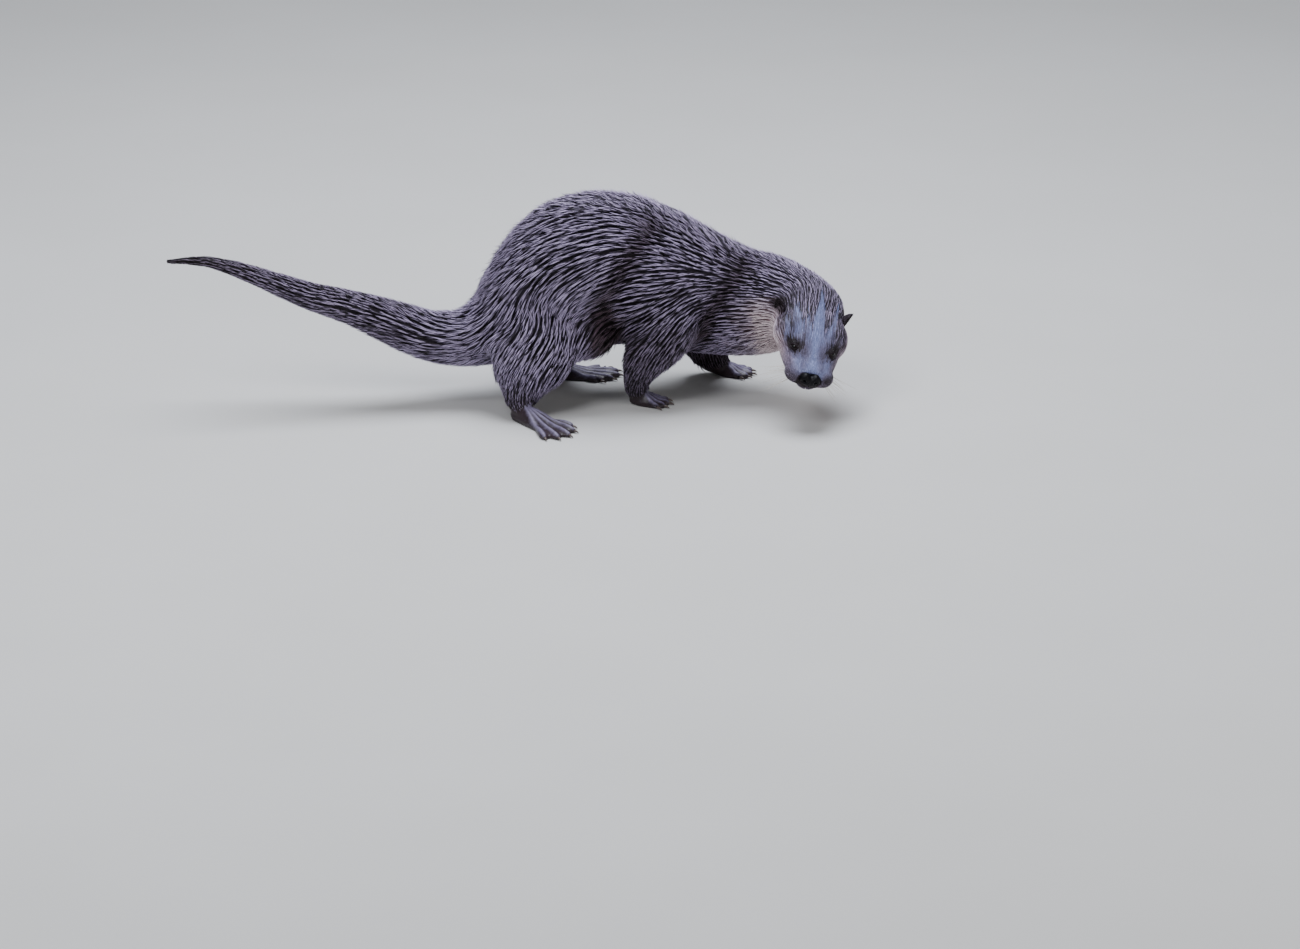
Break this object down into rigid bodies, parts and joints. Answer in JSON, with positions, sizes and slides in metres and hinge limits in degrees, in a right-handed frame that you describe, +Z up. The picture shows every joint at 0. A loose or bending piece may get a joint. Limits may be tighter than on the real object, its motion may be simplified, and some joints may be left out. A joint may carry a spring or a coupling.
{
  "type": "eurasian otter",
  "caption": "Still, life-size Eurasian otter standing with an arched back, head turned to its right and lowered, and a long tapering tail held clear of the floor.",
  "frame": {"origin": "on the floor, under the middle of the box round the whole animal", "axes": "+X along the body from tail to shoulders, -Y the way the face looks, +Z up"},
  "size_m": [0.8192, 0.2696, 0.2589],
  "materials": {
    "coat": "dark brown wet fur in pointed clumps, paler on the throat",
    "ear": "short dark fur round a bare hollow",
    "bare_skin": "grey-brown skin with very short fur, pinkish webs",
    "nose_pad": "moist black, finely pebbled",
    "eye": "dark brown, wet gloss",
    "claw": "horn"
  },
  "bodies": {
    "root": {"claw_fore_far_1": "claw", "claw_fore_far_2": "claw", "claw_fore_far_3": "claw", "claw_fore_far_4": "claw", "claw_fore_far_5": "claw", "claw_fore_near_1": "claw", "claw_fore_near_2": "claw", "claw_fore_near_3": "claw", "claw_fore_near_4": "claw", "claw_fore_near_5": "claw", "claw_hind_far_1": "claw", "claw_hind_far_2": "claw", "claw_hind_far_3": "claw", "claw_hind_far_4": "claw", "claw_hind_far_5": "claw", "claw_hind_near_1": "claw", "claw_hind_near_2": "claw", "claw_hind_near_3": "claw", "claw_hind_near_4": "claw", "claw_hind_near_5": "claw", "ear_left": "ear", "ear_right": "ear", "eye_left": "eye", "eye_right": "eye", "foot_fore_far": "bare_skin", "foot_fore_near": "bare_skin", "foot_hind_far": "bare_skin", "foot_hind_near": "bare_skin", "forearm_fore_far": "coat", "forearm_fore_near": "coat", "head": "coat", "neck": "coat", "nose": "nose_pad", "shank_hind_far": "coat", "shank_hind_near": "coat", "tail_base": "coat", "tail_middle": "coat", "tail_tip": "coat", "thigh_hind_far": "coat", "thigh_hind_near": "coat", "trunk": "coat", "upper_arm_fore_far": "coat", "upper_arm_fore_near": "coat"}
  },
  "joints": []
}
